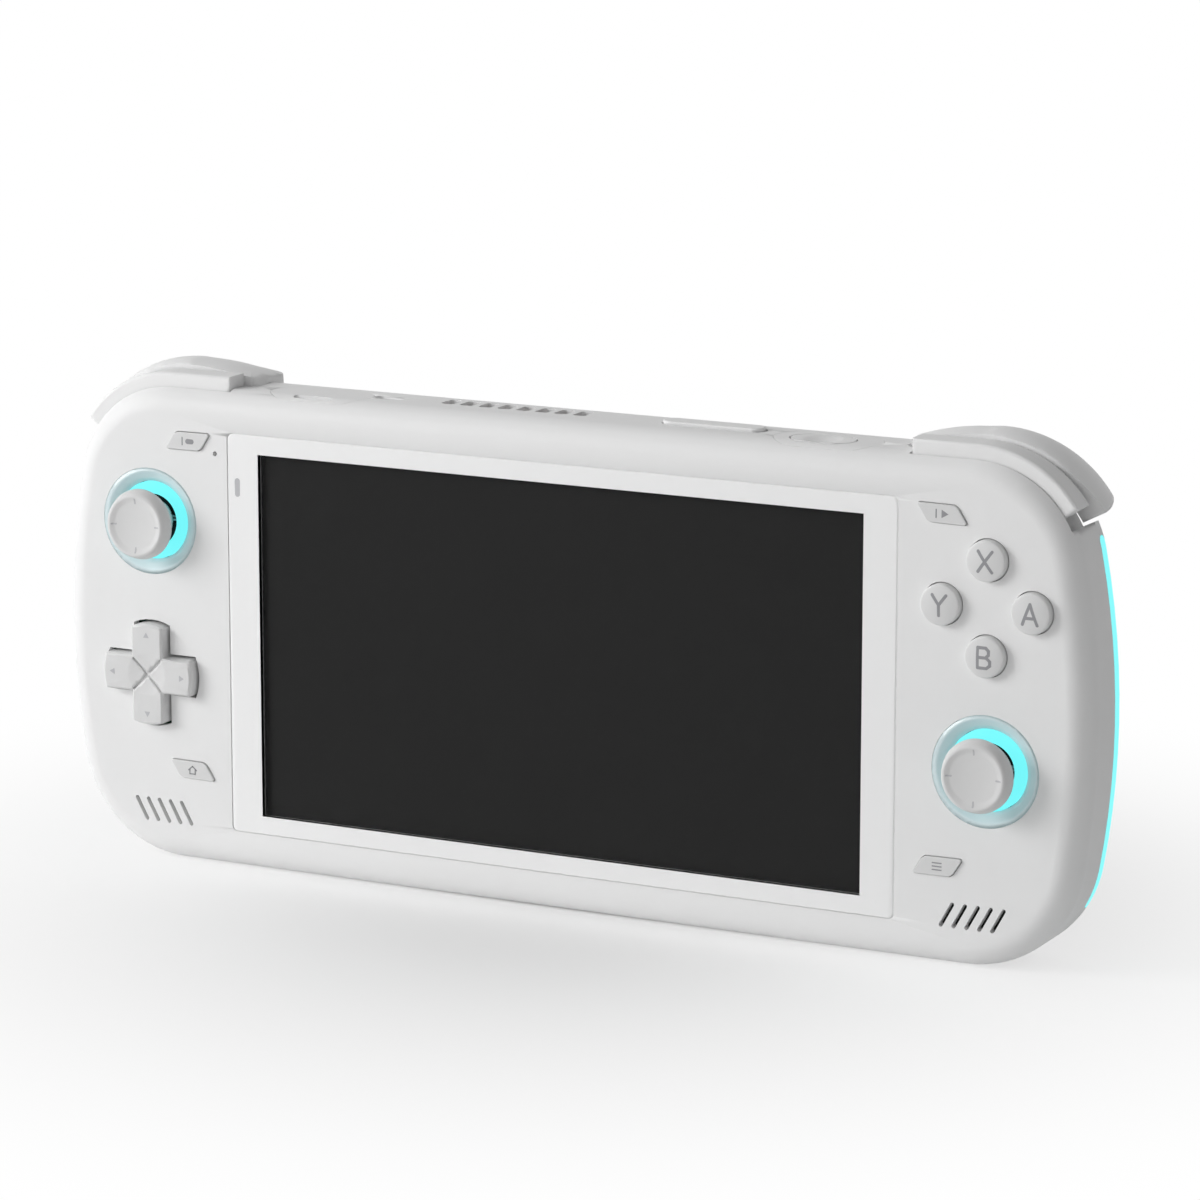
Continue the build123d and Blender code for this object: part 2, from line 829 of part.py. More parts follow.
def make_slant_buttons():
    """The four small slanted buttons, each with a flange behind the front wall."""
    pieces = {}
    flange_front = front_wall + button_skirt_gap
    for name, (x, z, lean) in slant_places().items():
        body = slab(Pos(x, z) * slant_shape(lean), -slant_rise, flange_front)
        body = fillet(body.edges().group_by(Axis.Y)[0], slant_edge)
        flange = slant_shape(lean, slant_flange)
        body += slab(Pos(x, z) * flange, flange_front, flange_front + slant_flange_thickness)
        pieces[f"{name}_button"] = body
    return pieces


def make_pad():
    """The direction pad, the small ball it rocks on, and its membrane."""
    x, z = -column, lower_row
    flange_front = front_wall + pad_flange_drop
    body = slab(Pos(x, z) * plus_shape(), -pad_rise, flange_front)
    body = chamfer(body.edges().group_by(Axis.Y)[0], pad_edge)
    flange = Circle(pad_flange_radius)
    flange_back = flange_front + pad_flange_thickness
    body += slab(Pos(x, z) * flange, flange_front, flange_back)
    ball_depth = flange_back + pad_ball_radius / 2
    body -= Pos(x, y_at(ball_depth), z) * Sphere(pad_ball_radius + bearing_gap)
    dish_centre = y_at(-pad_rise + pad_dish_depth - pad_dish_radius)
    body -= Pos(x, dish_centre, z) * Sphere(pad_dish_radius)
    for turn in (45, -45):
        groove = Pos(x, z) * Rot(0, 0, turn) * Rectangle(pad_groove_length, pad_groove_width)
        top = -pad_rise + pad_dish_depth
        body -= slab(groove, -overrun, top + pad_groove_depth)
    ball = Pos(x, y_at(ball_depth), z) * Sphere(pad_ball_radius)
    return {"direction_pad": body, "pad_pivot": ball}


def make_side_boards():
    """Control boards in the grips, with their membranes."""
    pieces = {}
    far = side_board_depth + board_thickness
    low = speaker_row_share * body_height + speaker_height / 2 + moving_gap
    high = body_height - bay_inset - bay_wall - wall
    hole = cradle_radius + moving_gap + side_board_hole_gap
    for side, way in (("left", -1), ("right", 1)):
        sketch = Pos(way * (column - fit_gap), (low + high) / 2) * Rectangle(side_board_width, high - low)
        sketch &= outline(wall + bay_wall + moving_gap)
        for x, z in boss_places():
            sketch -= Pos(x, z) * Circle(boss_radius + moving_gap)
        stick_x, stick_z = stick_places()[side]
        sketch -= Pos(stick_x, stick_z) * Circle(hole)
        plate = slab(sketch, side_board_depth, far)
        bay = shoulder_bay(bay_wall + moving_gap)
        plate -= bay if way > 0 else mirrored(bay)
        pieces[f"{side}_control_board"] = plate
    margin = button_radius + button_flange
    pieces["face_button_membrane"] = membrane(list(face_button_places().values()), margin)
    pad_sheet = membrane([(-column, lower_row)], pad_radius)
    ball_room = pad_ball_radius + moving_gap
    pad_sheet -= slab(Pos(-column, lower_row) * Circle(ball_room), 0, side_board_depth + overrun)
    pieces["pad_membrane"] = pad_sheet
    return pieces


def make_shoulders():
    """Bumpers, triggers, their pins and the trigger springs, on both sides."""
    strip = corner_band(bumper_proud, bumper_inset, bumper_run, shoulder_end_angle)
    bumper = slab(strip, bumper_front, bumper_back)
    x, z = bumper_pin_place()
    bumper = fillet(bumper.edges().group_by(Axis.Y)[0], bumper_edge)
    lug = Pos(x, z) * Circle(shoulder_lug_radius)
    lug += Pos(x, z + bumper_pin_inset / 2) * Rectangle(2 * shoulder_lug_radius, bumper_pin_inset)
    bumper += slab(lug, bumper_front, bumper_back)
    bumper -= slab(Pos(x, z) * Circle(shoulder_pin_radius + bearing_gap), 0, body_depth)

    pin_back = bumper_back + moving_gap + pin_boss_thickness
    bumper_pin = slab(Pos(x, z) * Circle(shoulder_pin_radius), bay_front - wall / 2, pin_back)

    trigger = make_trigger()
    y, z_pin = trigger_pin_place()
    x_in = top_corner[0] - trigger_run
    seat = Plane(origin=(x_in - moving_gap - bay_wall, y, z_pin), x_dir=(0, 1, 0), z_dir=(1, 0, 0))
    trigger_pin = extrude(seat * Circle(shoulder_pin_radius), moving_gap + bay_wall + trigger_lug_length)
    pins = bumper_pin + trigger_pin

    pieces = {
        "right_bumper": bumper,
        "left_bumper": mirrored(bumper),
        "right_trigger": trigger,
        "left_trigger": mirrored(trigger),
        "right_shoulder_pins": pins,
        "left_shoulder_pins": mirrored(pins),
    }
    return pieces


def make_trigger():
    """The right trigger: a lofted strip round the corner, hinged on a lug at its inner end."""
    sections = []
    for depth_share, proud_share, skirt_share, end_angle in zip(
        trigger_depth_shares, trigger_proud_shares, trigger_skirt_shares, trigger_end_angles
    ):
        depth = trigger_front + depth_share * trigger_length
        proud, inset = proud_share * trigger_crest, skirt_share * trigger_inset
        band = corner_band(proud, inset, trigger_run, end_angle, trigger_tip_share)
        sections.append(Plane.XZ.offset(-y_at(depth)) * band)
    body = loft(sections)
    x_in = top_corner[0] - trigger_run
    plan = Rectangle(2 * body_width, trigger_length, align=(Align.MIN, Align.MIN))
    plan = fillet(plan.vertices().group_by(Axis.X)[0], trigger_corner_radius)
    body &= tower(Pos(x_in, y_at(trigger_front)) * plan, 0, 2 * body_height)
    y, z = trigger_pin_place()
    seat = Plane(origin=(x_in, y, z), x_dir=(0, 1, 0), z_dir=(1, 0, 0))
    lug = Circle(shoulder_lug_radius) + Pos(0, trigger_pin_inset / 2) * Rectangle(
        2 * shoulder_lug_radius, trigger_pin_inset
    )
    body += extrude(seat * lug, trigger_lug_length)
    body -= extrude(seat * Circle(shoulder_pin_radius + bearing_gap), trigger_lug_length + fit_gap)
    behind = split(trigger_front, body_depth + trigger_length + overrun)
    axis = Axis((0, y, z), (1, 0, 0))
    swung = behind.rotate(axis, trigger_travel)
    return body & swung


def make_strips():
    """The light strips, flush with the side walls."""
    skin = slab(outline(0) - outline(strip_thickness), 0, body_depth) & body_block()
    strip = skin & strip_slot()
    return {"right_light_strip": strip, "left_light_strip": mirrored(strip)}


def make_top_pieces():
    """Card door with its tongue, power panel, power button and volume rocker."""
    top = body_height
    y = y_at(capsule_depth)
    shell_form = body_block()
    door = tower(Pos(-capsule_reach, y) * stadium(capsule_length, capsule_width), top - capsule_thickness, top)
    door &= shell_form
    nail = Pos(-capsule_reach, y - nail_slot_setback) * stadium(nail_slot_length, nail_slot_width)
    door -= tower(nail, top - nail_slot_depth - nail_slot_width / 2, top + overrun)
    tongue = Pos(-capsule_reach, y) * Rectangle(socket_width, door_tongue_thickness)
    door += tower(tongue, top - wall - capsule_thickness, top - capsule_thickness)

    bezel = tower(Pos(capsule_reach, y) * stadium(capsule_length, capsule_width), top - capsule_thickness, top)
    bezel &= shell_form
    bezel -= tower(
        Pos(power_reach, y) * stadium(power_length + moving_gap, power_width + moving_gap), 0, top + overrun
    )
    button = tower(
        Pos(power_reach, y) * stadium(power_length - moving_gap, power_width - moving_gap),
        top - capsule_thickness - power_height,
        top,
    )
    dish = Pos(power_reach, y, top + power_dish_radius - power_dish_depth) * Sphere(power_dish_radius)
    button -= dish

    plan = stadium(rocker_length, rocker_width)
    rocker = tower(Pos(rocker_middle, y_at(rocker_depth)) * plan, top - rocker_height, top + rocker_rise)
    rocker = fillet(rocker.edges().group_by(Axis.Z)[-1], rocker_rise / 2)
    return {
        "card_door": door,
        "power_panel": bezel,
        "power_button": button,
        "volume_rocker": rocker,
    }


def make_ports():
    """Charging port with its tongue, and the headphone jack."""
    y = y_at(port_depth)
    outer = stadium(usb_width, usb_height)
    inner = stadium(usb_width - 2 * usb_shell, usb_height - 2 * usb_shell)
    place = Pos(usb_reach, y)
    port = tower(place * outer, usb_shell, usb_length) - tower(place * inner, 0, usb_length - usb_shell)
    tongue = Rectangle(usb_width - usb_height, usb_tongue)
    port += tower(place * tongue, 2 * usb_tongue, usb_length - usb_shell)
    barrel = tower(Pos(-jack_reach, y) * Circle(jack_size / 2), fit_gap, wall)
    barrel += tower(Pos(-jack_reach, y) * Rectangle(jack_size, jack_size), wall + fit_gap, jack_length)
    barrel += tower(Pos(-jack_reach, y) * Circle(jack_size / 2), wall, wall + fit_gap)
    barrel -= tower(Pos(-jack_reach, y) * Circle(jack_bore_radius), 0, jack_length - usb_shell)
    return {"charging_port": port, "headphone_jack": barrel}


def make_inside():
    """Main board, shield, card socket, battery, fan, heat sink and speakers."""
    board_top = body_height - board_top_margin
    board = slab(
        Pos(0, board_top - board_height / 2) * Rectangle(board_width, board_height), board_depth, board_back
    )
    shield = slab(
        Pos(shield_reach, board_top - board_height / 2) * Rectangle(shield_width, shield_height),
        board_back,
        board_back + shield_thickness,
    )
    socket = slab(
        Pos(-capsule_reach, board_top - socket_height / 2) * Rectangle(socket_width, socket_height),
        board_back,
        board_back + socket_thickness,
    )
    battery_low = usb_length + battery_margin
    battery_high = board_top - board_height - battery_gap
    battery_form = RectangleRounded(battery_width, battery_high - battery_low, battery_corner)
    battery_front = mid_frame_back + fit_gap
    battery_place = Pos(0, (battery_low + battery_high) / 2)
    battery = slab(battery_place * battery_form, battery_front, battery_front + battery_thickness)

    speaker_z = speaker_row_share * body_height
    speaker_x = half_glass + speaker_column_share * grip_width
    speaker_front = front_wall + fit_gap
    cabinet = slab(
        Pos(speaker_x, speaker_z) * Rectangle(speaker_width, speaker_height),
        speaker_front,
        speaker_front + speaker_thickness,
    )
    cabinet &= slab(outline(front_edge_radius + fit_gap), 0, body_depth)
    pieces = {
        "main_board": board,
        "shield_can": shield,
        "card_socket": socket,
        "battery": battery,
        "right_speaker": cabinet,
        "left_speaker": mirrored(cabinet),
    }
    pieces.update(make_fan())
    return pieces


def make_fan():
    """A flat blower on the main board, and the finned sink between it and the vents."""
    centre = Pos(vent_middle, fan_centre_height)
    case = slab(centre * RectangleRounded(fan_size, fan_size, fan_wall * 2), fan_front, fan_back)
    inner = Circle(fan_size / 2 - fan_wall)
    outlet = Pos(0, fan_size / 4) * Rectangle(fan_size - 2 * fan_wall, fan_size / 2 + fan_wall)
    case -= slab(centre * (inner + outlet), fan_front + fan_wall, fan_back - fan_wall)
    case -= slab(centre * Circle(fan_inlet_radius), fan_back - 2 * fan_wall, fan_back + overrun)
    case += slab(centre * Circle(fan_axle_radius), fan_front + fan_wall / 2, fan_back - fan_wall)
    feet = Sketch()
    for x_way in (-1, 1):
        for z_way in (-1, 1):
            reach = fan_size / 2 - 2 * fan_wall
            feet += Pos(x_way * reach, z_way * reach) * Circle(fan_wall)
    case += slab(centre * feet, board_back, fan_front)

    low, high = fan_front + fan_wall + moving_gap, fan_back - fan_wall - moving_gap
    rotor = slab(centre * Circle(fan_hub_radius), low, high)
    root = fan_hub_radius - fan_blade_thickness
    sweep = math.radians(fan_blade_sweep)
    span = math.sqrt(fan_blade_radius**2 - (root * math.sin(sweep)) ** 2) - root * math.cos(sweep)
    for index in range(fan_blade_count):
        turn = Rot(0, 0, 360 * index / fan_blade_count)
        blade = Pos(root, 0) * Rot(0, 0, fan_blade_sweep) * Pos(span / 2, 0) * Rectangle(span, fan_blade_thickness)
        rotor += slab(centre * turn * blade, low, high)
    rotor -= slab(centre * Circle(fan_axle_radius + bearing_gap), 0, body_depth)

    sink_low = body_height - board_top_margin - sink_height + fit_gap
    sink_high = body_height - wall - lip_thickness - moving_gap
    length = vent_count * vent_pitch
    base = Pos(vent_middle, (sink_low + sink_high) / 2) * Rectangle(length, sink_high - sink_low)
    sink = slab(base, fan_front, fan_front + sink_base)
    fins = Sketch()
    for index in range(vent_count + 1):
        x = vent_middle + (index - vent_count / 2) * vent_pitch
        shift = math.copysign(fin_thickness / 2, vent_middle - x)
        fins += Pos(x + shift, (sink_low + sink_high) / 2) * Rectangle(fin_thickness, sink_high - sink_low)
    sink += slab(fins, fan_front, fan_back)
    return {"fan_housing": case, "fan_rotor": rotor, "heat_sink": sink}


def make_screws():
    """Six screws through the rear shell into the front shell's posts."""
    head_front = body_depth - screw_depth_below - screw_head_height
    screws = screw_posts(split_depth - screw_bite, head_front, screw_shank_radius)
    screws += screw_posts(head_front, head_front + screw_head_height, screw_head_radius)
    drive = Part()
    for x, z in boss_places():
        cross = Rectangle(screw_head_radius, screw_drive_width) + Rectangle(screw_drive_width, screw_head_radius)
        drive += slab(Pos(x, z) * cross, head_front + screw_head_height / 2, body_depth)
    return {"rear_screws": screws - drive}


def main():
    """Make every piece and write each one to its own file."""
    os.makedirs("parts", exist_ok=True)
    makers = (
        make_shells,
        make_screen,
        make_sticks,
        make_face_buttons,
        make_slant_buttons,
        make_pad,
        make_side_boards,
        make_shoulders,
        make_strips,
        make_top_pieces,
        make_ports,
        make_inside,
        make_screws,
    )
    for maker in makers:
        for node, shape in maker().items():
            export_step(shape, os.path.join("parts", f"{node}.step"))


main()
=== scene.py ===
import json
import logging
import math
from dataclasses import dataclass, field
from enum import Enum

import bmesh
import bpy
from mathutils import Matrix, Vector
from mathutils.bvhtree import BVHTree


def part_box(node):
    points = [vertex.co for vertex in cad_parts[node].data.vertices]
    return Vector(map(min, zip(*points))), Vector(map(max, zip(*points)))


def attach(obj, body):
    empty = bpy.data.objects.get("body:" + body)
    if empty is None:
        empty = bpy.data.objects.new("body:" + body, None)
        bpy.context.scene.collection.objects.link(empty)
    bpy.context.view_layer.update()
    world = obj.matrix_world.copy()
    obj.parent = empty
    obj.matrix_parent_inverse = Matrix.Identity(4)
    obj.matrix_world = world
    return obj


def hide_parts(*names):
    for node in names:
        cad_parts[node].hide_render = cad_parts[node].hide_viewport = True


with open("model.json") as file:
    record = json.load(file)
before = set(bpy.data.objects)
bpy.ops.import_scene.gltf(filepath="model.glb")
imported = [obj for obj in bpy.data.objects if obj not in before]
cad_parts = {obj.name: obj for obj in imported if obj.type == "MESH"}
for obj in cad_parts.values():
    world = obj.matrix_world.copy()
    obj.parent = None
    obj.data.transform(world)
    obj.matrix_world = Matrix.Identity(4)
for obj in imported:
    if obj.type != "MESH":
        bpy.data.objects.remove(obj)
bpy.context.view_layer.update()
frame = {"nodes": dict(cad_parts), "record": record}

# The looks of a white handheld game console that stands on its bottom edge. Metres throughout.
LOG = logging.getLogger("console")
MM = 0.001
WELD = 0.002 * MM
INK_RISE = 0.03 * MM
Spot = tuple[float, float]
Strokes = tuple[tuple[Spot, Spot], ...]
RECORD = frame["record"]
BODY_OF = {node: body for body, nodes in RECORD["behaviour"]["bodies"].items() for node in nodes}


class Side(Enum):
    """The two grips, seen from the front."""

    LEFT = "left"
    RIGHT = "right"


def linear(red: float, green: float, blue: float) -> tuple[float, float, float, float]:
    """Turn 0 to 255 screen values into a shader colour.

    Args:
        red: Red on the screen.
        green: Green on the screen.
        blue: Blue on the screen.

    Returns:
        The colour in linear light, with full alpha.
    """
    parts = []
    for value in (red, green, blue):
        part = value / 255
        parts.append(part / 12.92 if part <= 0.04045 else ((part + 0.055) / 1.055) ** 2.4)
    return (parts[0], parts[1], parts[2], 1.0)


@dataclass(frozen=True)
class Finish:
    """A material on the Principled shader, with grain in its colour and surface."""

    name: str
    tone: tuple[float, float, float]
    roughness: float = 0.5
    metallic: float = 0.0
    specular: float = 0.5
    coat: float = 0.0
    tone_spread: float = 0.02
    tone_scale: float = 60.0
    grain_scale: float = 3500.0
    grain_depth: float = 0.01 * MM
    grain_strength: float = 0.35
    gloss_spread: float = 0.08
    tone_detail: float = 4.0
    grain_detail: float = 2.0

    def build(self) -> bpy.types.Material:
        """Make the material.

        Returns:
            The material, made once for each name.
        """
        if self.name in bpy.data.materials:
            return bpy.data.materials[self.name]
        material = bpy.data.materials.new(self.name)
        material.use_nodes = True
        nodes, links = material.node_tree.nodes, material.node_tree.links
        shader = nodes["Principled BSDF"]
        shader.inputs["Metallic"].default_value = self.metallic
        shader.inputs["Specular IOR Level"].default_value = self.specular
        shader.inputs["Coat Weight"].default_value = self.coat
        place = nodes.new("ShaderNodeTexCoord").outputs["Object"]
        self.colour(nodes, links, place, shader)
        self.surface(nodes, links, place, shader)
        return material

    def colour(
        self,
        nodes: bpy.types.Nodes,
        links: bpy.types.NodeLinks,
        place: bpy.types.NodeSocket,
        shader: bpy.types.ShaderNode,
    ) -> None:
        """Vary the tone a little over the piece.

        Args:
            nodes: The material's nodes.
            links: The material's links.
            place: The socket with Object coordinates.
            shader: The Principled shader.
        """
        cloud = nodes.new("ShaderNodeTexNoise")
        cloud.inputs["Scale"].default_value = self.tone_scale
        cloud.inputs["Detail"].default_value = self.tone_detail
        ramp = nodes.new("ShaderNodeValToRGB")
        base = linear(*self.tone)[:3]
        spread = (1 - self.tone_spread, 1 + self.tone_spread)
        for element, share in zip(ramp.color_ramp.elements, spread):
            element.color = tuple(min(part * share, 1.0) for part in base) + (1.0,)
        links.new(place, cloud.inputs["Vector"])
        links.new(cloud.outputs["Fac"], ramp.inputs["Fac"])
        links.new(ramp.outputs["Color"], shader.inputs["Base Color"])
        gloss = nodes.new("ShaderNodeMapRange")
        gloss.inputs["To Min"].default_value = self.roughness * (1 - self.gloss_spread)
        gloss.inputs["To Max"].default_value = min(self.roughness * (1 + self.gloss_spread), 1.0)
        links.new(cloud.outputs["Fac"], gloss.inputs["Value"])
        links.new(gloss.outputs["Result"], shader.inputs["Roughness"])

    def surface(
        self,
        nodes: bpy.types.Nodes,
        links: bpy.types.NodeLinks,
        place: bpy.types.NodeSocket,
        shader: bpy.types.ShaderNode,
    ) -> None:
        """Give the surface its fine moulded or machined grain.

        Args:
            nodes: The material's nodes.
            links: The material's links.
            place: The socket with Object coordinates.
            shader: The Principled shader.
        """
        grain = nodes.new("ShaderNodeTexNoise")
        grain.inputs["Scale"].default_value = self.grain_scale
        grain.inputs["Detail"].default_value = self.grain_detail
        bump = nodes.new("ShaderNodeBump")
        bump.inputs["Strength"].default_value = self.grain_strength
        bump.inputs["Distance"].default_value = self.grain_depth
        links.new(place, grain.inputs["Vector"])
        links.new(grain.outputs["Fac"], bump.inputs["Height"])
        links.new(bump.outputs["Normal"], shader.inputs["Normal"])


@dataclass(frozen=True)
class Glow(Finish):
    """A lit, milky plastic: its own light over a satin surface."""

    light: tuple[float, float, float] = (129, 249, 252)
    power: float = 1.0

    def build(self) -> bpy.types.Material:
        """Make the material and switch its light on.

        Returns:
            The material.
        """
        material = super().build()
        shader = material.node_tree.nodes["Principled BSDF"]
        shader.inputs["Emission Color"].default_value = linear(*self.light)
        shader.inputs["Emission Strength"].default_value = self.power
        return material


@dataclass(frozen=True)
class Glass:
    """Clear glass that reflects by its angle and lets the light through to what is behind it."""

    name: str
    ior: float = 1.3
    roughness: float = 0.04
    tint: tuple[float, float, float] = (255, 255, 255)

    def build(self) -> bpy.types.Material:
        """Make the material.

        Returns:
            The material, made once for each name.
        """
        if self.name in bpy.data.materials:
            return bpy.data.materials[self.name]
        material = bpy.data.materials.new(self.name)
        material.use_nodes = True
        nodes, links = material.node_tree.nodes, material.node_tree.links
        nodes.remove(nodes["Principled BSDF"])
        clear = nodes.new("ShaderNodeBsdfTransparent")
        clear.inputs["Color"].default_value = linear(*self.tint)
        shine = nodes.new("ShaderNodeBsdfGlossy")
        shine.inputs["Roughness"].default_value = self.roughness
        angle = nodes.new("ShaderNodeFresnel")
        angle.inputs["IOR"].default_value = self.ior
        mix = nodes.new("ShaderNodeMixShader")
        links.new(angle.outputs["Fac"], mix.inputs["Fac"])
        links.new(clear.outputs["BSDF"], mix.inputs[1])
        links.new(shine.outputs["BSDF"], mix.inputs[2])
        links.new(mix.outputs["Shader"], nodes["Material Output"].inputs["Surface"])
        return material


WHITE_SHELL = Finish("white_shell_look", (241, 241, 241), roughness=0.55, specular=0.4)
WHITE_TRIGGER = Finish("white_trigger_look", (244, 244, 244), roughness=0.5, specular=0.4)
WHITE_BUTTON = Finish(
    "white_button_look", (224, 224, 224), roughness=0.4, specular=0.45, grain_strength=0.15
)
SOFT_CAP = Finish("soft_cap_look", (222, 222, 222), roughness=0.62, specular=0.3, grain_scale=5200)
BEZEL_INK = Finish(
    "bezel_ink_look", (249, 249, 249), roughness=0.6, tone_spread=0.01, grain_strength=0.02
)
DARK_SCREEN = Finish(
    "dark_screen_look",
    (46, 46, 46),
    roughness=0.7,
    specular=0.05,
    tone_spread=0.05,
    grain_strength=0.02,
)
INNER_BLACK = Finish("inner_black_look", (22, 22, 23), roughness=0.6, specular=0.3)
GREY_INK = Finish("grey_ink_look", (158, 158, 161), roughness=0.6, specular=0.2)
PALE_INK = Finish("pale_ink_look", (196, 196, 199), roughness=0.6, specular=0.2)
LIT_STRIP = Glow("lit_strip_look", (40, 96, 100), roughness=0.4, light=(112, 240, 243), power=0.95)
LIT_RING = Glow("lit_ring_look", (50, 110, 114), roughness=0.4, light=(116, 243, 246), power=0.95)
RING_LENS = Glow(
    "ring_lens_look", (206, 216, 219), roughness=0.3, coat=0.3, light=(170, 214, 218), power=0.16
)
SCREEN_GLASS = Glass("screen_glass_look", ior=1.07, roughness=0.2)
STEEL = Finish("pin_steel_look", (176, 176, 180), roughness=0.32, metallic=1.0, grain_scale=900)
SILICONE = Finish("silicone_look", (205, 205, 202), roughness=0.7, specular=0.2)
CIRCUIT = Finish("circuit_board_look", (22, 92, 62), roughness=0.4, tone_spread=0.3, tone_scale=900)
ALLOY = Finish("cast_alloy_look", (172, 173, 176), roughness=0.42, metallic=0.9)
WRAP = Finish("battery_wrap_look", (52, 52, 56), roughness=0.35)
COPPER = Finish("sink_copper_look", (196, 122, 88), roughness=0.35, metallic=1.0)


def put(piece: bpy.types.Object, body: str, finish: Finish | Glass) -> bpy.types.Object:
    """Dress a new piece and let it ride on a body.

    Args:
        piece: The new object, in place in its own mesh.
        body: The CAD body that carries it.
        finish: What it is made of.

    Returns:
        The same piece.
    """
    piece.data.materials.clear()
    piece.data.materials.append(finish.build())
    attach(piece, body)
    LOG.info("piece %s rides on %s", piece.name, body)
    return piece


def object_from(bm: bmesh.types.BMesh, name: str) -> bpy.types.Object:
    """Turn a bmesh into an object in the scene and free it.

    Args:
        bm: The mesh, in place.
        name: The new object's name.

    Returns:
        The new object.
    """
    mesh = bpy.data.meshes.new(name)
    bm.to_mesh(mesh)
    bm.free()
    piece = bpy.data.objects.new(name, mesh)
    bpy.context.scene.collection.objects.link(piece)
    return piece


def shade(piece: bpy.types.Object, crease: float, pull: int = 80) -> None:
    """Shade smooth, with sharp creases kept and large flat faces kept flat.

    Args:
        piece: The object to shade.
        crease: Edges sharper than this many degrees stay sharp.
        pull: How strongly large faces hold the normals, from 50 to 100.
    """
    piece.data.polygons.foreach_set("use_smooth", [True] * len(piece.data.polygons))
    piece.data.set_sharp_from_angle(angle=math.radians(crease))
    steady = piece.modifiers.new("steady", "WEIGHTED_NORMAL")
    steady.keep_sharp = True
    steady.weight = pull


def dress(node: str, finish: Finish | Glass, crease: float = 28.0, pull: int = 80) -> bpy.types.Object:
    """Replace a CAD node by a welded, smooth-shaded copy in its real finish.

    Args:
        node: The CAD node.
        finish: What it is made of.
        crease: Edges sharper than this many degrees stay sharp.
        pull: How strongly large faces hold the normals.

    Returns:
        The new piece.
    """
    bm = bmesh.new()
    bm.from_mesh(frame["nodes"][node].data)
    bmesh.ops.remove_doubles(bm, verts=bm.verts, dist=WELD)
    bmesh.ops.dissolve_degenerate(bm, edges=bm.edges, dist=WELD)
    piece = object_from(bm, f"{node}_skin")
    shade(piece, crease, pull)
    put(piece, BODY_OF[node], finish)
    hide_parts(node)
    return piece


def middle_of(node: str) -> Vector:
    """The middle of a CAD node's box."""
    low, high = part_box(node)
    return (Vector(low) + Vector(high)) / 2


def bar(bm: bmesh.types.BMesh, start: Spot, end: Spot, width: float) -> None:
    """Add a flat round-ended stroke in the XZ plane, facing the front.

    Args:
        bm: The mesh that takes the stroke.
        start: X and Z of one end.
        end: X and Z of the other end.
        width: The stroke's width.
    """
    along = Vector((end[0] - start[0], 0, end[1] - start[1]))
    turn = Matrix.Rotation(-math.atan2(along.z, along.x), 4, "Y")
    made = bmesh.ops.create_circle(bm, cap_ends=True, segments=16, radius=width / 2)["verts"]
    stand = Matrix.Rotation(math.radians(90), 4, "X")
    bmesh.ops.transform(bm, matrix=stand, verts=made)
    for vert in made:
        if vert.co.x > 0:
            vert.co.x += along.length
    bmesh.ops.transform(bm, matrix=Matrix.Translation((start[0], 0, start[1])) @ turn, verts=made)


def triangle(bm: bmesh.types.BMesh, centre: Spot, radius: float, heading: float) -> None:
    """Add a flat triangle in the XZ plane.

    Args:
        bm: The mesh that takes the triangle.
        centre: X and Z of its middle.
        radius: From its middle to a corner.
        heading: Where it points, in degrees from +X.
    """
    made = bmesh.ops.create_circle(bm, cap_ends=True, segments=3, radius=radius)["verts"]
    stand = Matrix.Rotation(math.radians(90), 4, "X")
    first = max(made, key=lambda vert: vert.co.y)
    lead = math.degrees(math.atan2(first.co.y, first.co.x))
    turn = Matrix.Rotation(math.radians(lead - heading), 4, "Y")
    shift = Matrix.Translation((centre[0], 0, centre[1]))
    bmesh.ops.transform(bm, matrix=shift @ turn @ stand, verts=made)


def print_on(
    bm: bmesh.types.BMesh, node: str, name: str, finish: Finish, rise: float = INK_RISE
) -> bpy.types.Object:
    """Lay a flat mark on the front of a CAD node as a thin film of ink.

    Args:
        bm: The mark, flat in the XZ plane.
        node: The CAD node that carries it.
        name: The new piece's name.
        finish: The ink.
        rise: How far the ink stands proud.

    Returns:
        The new piece.
    """
    bmesh.ops.subdivide_edges(bm, edges=bm.edges, cuts=2, use_grid_fill=True)
    bmesh.ops.triangulate(bm, faces=bm.faces)
    carrier = bmesh.new()
    carrier.from_mesh(frame["nodes"][node].data)
    tree = BVHTree.FromBMesh(carrier)
    carrier.free()
    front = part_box(node)[0][1] - MM
    for vert in bm.verts:
        hit = tree.ray_cast(Vector((vert.co.x, front, vert.co.z)), Vector((0, 1, 0)))[0]
        vert.co.y = (hit.y if hit else middle_of(node).y) - rise
    for face in bm.faces:
        if face.normal.y > 0:
            face.normal_flip()
    bmesh.ops.recalc_face_normals(bm, faces=bm.faces)
    made = bmesh.ops.extrude_face_region(bm, geom=bm.faces[:])
    verts = [item for item in made["geom"] if isinstance(item, bmesh.types.BMVert)]
    bmesh.ops.translate(bm, verts=verts, vec=(0, 2 * rise, 0))
    bmesh.ops.recalc_face_normals(bm, faces=bm.faces)
    piece = object_from(bm, name)
    return put(piece, BODY_OF[node], finish)


@dataclass
class Housing:
    """The two shells and the light strips in their side walls."""

    shells: tuple[str, ...] = ("front_shell", "rear_shell")
    screws: str = "rear_screws"

    def build(self) -> None:
        """Dress the shells, the strips and the screws."""
        for shell in self.shells:
            dress(shell, WHITE_SHELL, crease=24, pull=100)
        for side in Side:
            dress(f"{side.value}_light_strip", LIT_STRIP)
        dress(self.screws, STEEL)


